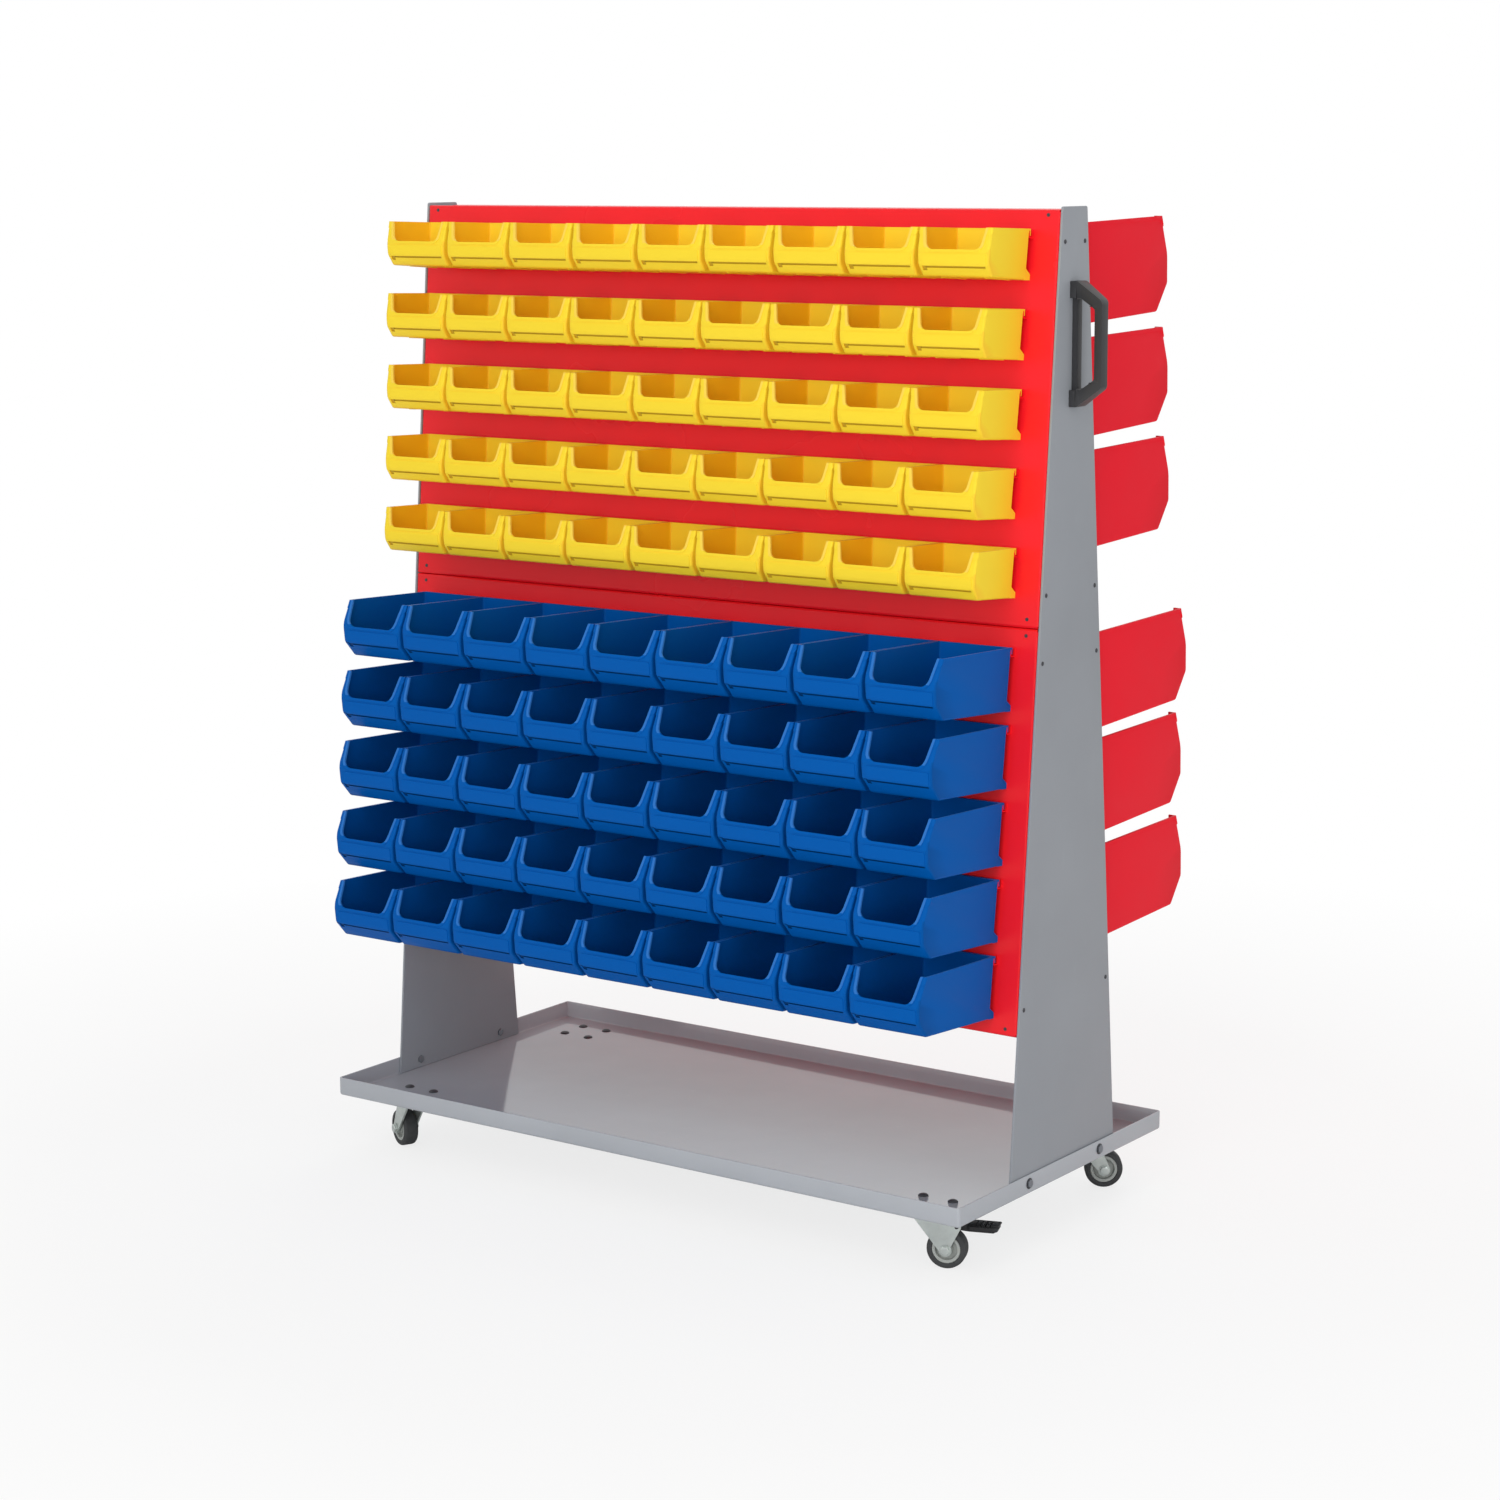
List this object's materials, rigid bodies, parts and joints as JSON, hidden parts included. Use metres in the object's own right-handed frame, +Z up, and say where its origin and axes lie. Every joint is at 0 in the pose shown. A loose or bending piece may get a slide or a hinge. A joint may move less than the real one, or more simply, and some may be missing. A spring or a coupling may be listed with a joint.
{
  "type": "mobile bin cart",
  "caption": "Double-sided A-frame cart on swivel casters with a base tray, folded panels and rows of hung open-fronted bins that shrink towards the top.",
  "frame": {"origin": "on the floor, under the middle of the whole cart with its bins", "axes": "+Z up, +X along the cart towards the right end plate, -Y out of the front where the yellow and blue bins hang"},
  "size_m": [1.0434, 0.6288, 1.2803],
  "materials": {
    "grey_paint": "satin powder coat",
    "red_paint": "satin powder coat",
    "yellow_plastic": "moulded, low gloss",
    "blue_plastic": "moulded, low gloss",
    "red_plastic": "moulded, low gloss",
    "zinc_steel": "zinc plated",
    "hub_plastic": "moulded",
    "tyre_rubber": "matte",
    "black_plastic": "moulded",
    "handle_plastic": "fine grain"
  },
  "bodies": {
    "frame": {"base_tray": "grey_paint", "blue_bin_row_1": "blue_plastic", "blue_bin_row_2": "blue_plastic", "blue_bin_row_3": "blue_plastic", "blue_bin_row_4": "blue_plastic", "blue_bin_row_5": "blue_plastic", "caster_front_left_mount": "zinc_steel", "caster_front_right_mount": "zinc_steel", "caster_rear_left_mount": "zinc_steel", "caster_rear_right_mount": "zinc_steel", "end_plate_left": "grey_paint", "end_plate_right": "grey_paint", "front_lower_panel": "red_paint", "front_upper_panel": "red_paint", "pull_handle": "handle_plastic", "rear_lower_panel": "red_paint", "rear_upper_panel": "red_paint", "red_bin_row_1": "red_plastic", "red_bin_row_2": "red_plastic", "red_bin_row_3": "red_plastic", "red_bin_row_4": "red_plastic", "red_bin_row_5": "red_plastic", "red_bin_row_6": "red_plastic", "yellow_bin_row_1": "yellow_plastic", "yellow_bin_row_2": "yellow_plastic", "yellow_bin_row_3": "yellow_plastic", "yellow_bin_row_4": "yellow_plastic", "yellow_bin_row_5": "yellow_plastic"},
    "front_right_swivel": {"caster_front_right_fork": "zinc_steel", "caster_front_right_axle": "zinc_steel"},
    "front_right_wheel": {"caster_front_right_hub": "hub_plastic", "caster_front_right_tyre": "tyre_rubber"},
    "front_right_brake": {"brake_pedal_front_right": "black_plastic"},
    "rear_right_swivel": {"caster_rear_right_fork": "zinc_steel", "caster_rear_right_axle": "zinc_steel"},
    "rear_right_wheel": {"caster_rear_right_hub": "hub_plastic", "caster_rear_right_tyre": "tyre_rubber"},
    "front_left_swivel": {"caster_front_left_fork": "zinc_steel", "caster_front_left_axle": "zinc_steel"},
    "front_left_wheel": {"caster_front_left_hub": "hub_plastic", "caster_front_left_tyre": "tyre_rubber"},
    "rear_left_swivel": {"caster_rear_left_fork": "zinc_steel", "caster_rear_left_axle": "zinc_steel"},
    "rear_left_wheel": {"caster_rear_left_hub": "hub_plastic", "caster_rear_left_tyre": "tyre_rubber"},
    "rear_left_brake": {"brake_pedal_rear_left": "black_plastic"},
    "blue_lift_bin_1": {"blue_end_bin_1": "blue_plastic"},
    "blue_lift_bin_2": {"blue_end_bin_2": "blue_plastic"},
    "blue_lift_bin_3": {"blue_end_bin_3": "blue_plastic"},
    "blue_lift_bin_4": {"blue_end_bin_4": "blue_plastic"},
    "blue_lift_bin_5": {"blue_end_bin_5": "blue_plastic"},
    "red_lift_bin_1": {"red_end_bin_1": "red_plastic"},
    "red_lift_bin_3": {"red_end_bin_3": "red_plastic"},
    "red_lift_bin_5": {"red_end_bin_5": "red_plastic"},
    "yellow_lift_bin_1": {"yellow_end_bin_1": "yellow_plastic"},
    "yellow_lift_bin_2": {"yellow_end_bin_2": "yellow_plastic"},
    "yellow_lift_bin_3": {"yellow_end_bin_3": "yellow_plastic"},
    "yellow_lift_bin_4": {"yellow_end_bin_4": "yellow_plastic"},
    "yellow_lift_bin_5": {"yellow_end_bin_5": "yellow_plastic"}
  },
  "joints": [
    {"name": "front_right_caster_swivel", "type": "hinge", "parent": "frame", "child": "front_right_swivel", "pos_m": [0.40165, -0.22281, 0.07], "axis": [0, 0, 1], "continuous": true},
    {"name": "front_right_wheel_spin", "type": "hinge", "parent": "front_right_swivel", "child": "front_right_wheel", "pos_m": [0.4242, -0.2146, 0.025], "axis": [-0.342, 0.9397, 0], "continuous": true},
    {"name": "front_right_brake_pedal", "type": "hinge", "parent": "front_right_swivel", "child": "front_right_brake", "pos_m": [0.43736, -0.20981, 0.056], "axis": [-0.342, 0.9397, 0], "range_deg": [0, 20]},
    {"name": "rear_right_caster_swivel", "type": "hinge", "parent": "frame", "child": "rear_right_swivel", "pos_m": [0.40165, 0.16119, 0.07], "axis": [0, 0, 1], "continuous": true},
    {"name": "rear_right_wheel_spin", "type": "hinge", "parent": "rear_right_swivel", "child": "rear_right_wheel", "pos_m": [0.42131, 0.17495, 0.025], "axis": [-0.5736, 0.8192, 0], "continuous": true},
    {"name": "front_left_caster_swivel", "type": "hinge", "parent": "frame", "child": "front_left_swivel", "pos_m": [-0.43835, -0.22281, 0.07], "axis": [0, 0, 1], "continuous": true},
    {"name": "front_left_wheel_spin", "type": "hinge", "parent": "front_left_swivel", "child": "front_left_wheel", "pos_m": [-0.4601, -0.21267, 0.025], "axis": [-0.4226, -0.9063, 0], "continuous": true},
    {"name": "rear_left_caster_swivel", "type": "hinge", "parent": "frame", "child": "rear_left_swivel", "pos_m": [-0.43835, 0.16119, 0.07], "axis": [0, 0, 1], "continuous": true},
    {"name": "rear_left_wheel_spin", "type": "hinge", "parent": "rear_left_swivel", "child": "rear_left_wheel", "pos_m": [-0.41471, 0.16536, 0.025], "axis": [-0.1736, 0.9848, 0], "continuous": true},
    {"name": "rear_left_brake_pedal", "type": "hinge", "parent": "rear_left_swivel", "child": "rear_left_brake", "pos_m": [-0.40093, 0.16779, 0.056], "axis": [-0.1736, 0.9848, 0], "range_deg": [0, 20]},
    {"name": "blue_bin_lift_1", "type": "slide", "parent": "frame", "child": "blue_lift_bin_1", "axis": [0, 0.083, 0.9966], "range_m": [0, 0.012]},
    {"name": "blue_bin_lift_2", "type": "slide", "parent": "frame", "child": "blue_lift_bin_2", "axis": [0, 0.083, 0.9966], "range_m": [0, 0.012]},
    {"name": "blue_bin_lift_3", "type": "slide", "parent": "frame", "child": "blue_lift_bin_3", "axis": [0, 0.083, 0.9966], "range_m": [0, 0.012]},
    {"name": "blue_bin_lift_4", "type": "slide", "parent": "frame", "child": "blue_lift_bin_4", "axis": [0, 0.083, 0.9966], "range_m": [0, 0.012]},
    {"name": "blue_bin_lift_5", "type": "slide", "parent": "frame", "child": "blue_lift_bin_5", "axis": [0, 0.083, 0.9966], "range_m": [0, 0.012]},
    {"name": "red_bin_lift_1", "type": "slide", "parent": "frame", "child": "red_lift_bin_1", "axis": [0, -0.083, 0.9966], "range_m": [0, 0.012]},
    {"name": "red_bin_lift_3", "type": "slide", "parent": "frame", "child": "red_lift_bin_3", "axis": [0, -0.083, 0.9966], "range_m": [0, 0.012]},
    {"name": "red_bin_lift_5", "type": "slide", "parent": "frame", "child": "red_lift_bin_5", "axis": [0, -0.083, 0.9966], "range_m": [0, 0.012]},
    {"name": "yellow_bin_lift_1", "type": "slide", "parent": "frame", "child": "yellow_lift_bin_1", "axis": [0, 0.083, 0.9966], "range_m": [0, 0.012]},
    {"name": "yellow_bin_lift_2", "type": "slide", "parent": "frame", "child": "yellow_lift_bin_2", "axis": [0, 0.083, 0.9966], "range_m": [0, 0.012]},
    {"name": "yellow_bin_lift_3", "type": "slide", "parent": "frame", "child": "yellow_lift_bin_3", "axis": [0, 0.083, 0.9966], "range_m": [0, 0.012]},
    {"name": "yellow_bin_lift_4", "type": "slide", "parent": "frame", "child": "yellow_lift_bin_4", "axis": [0, 0.083, 0.9966], "range_m": [0, 0.012]},
    {"name": "yellow_bin_lift_5", "type": "slide", "parent": "frame", "child": "yellow_lift_bin_5", "axis": [0, 0.083, 0.9966], "range_m": [0, 0.012]}
  ]
}
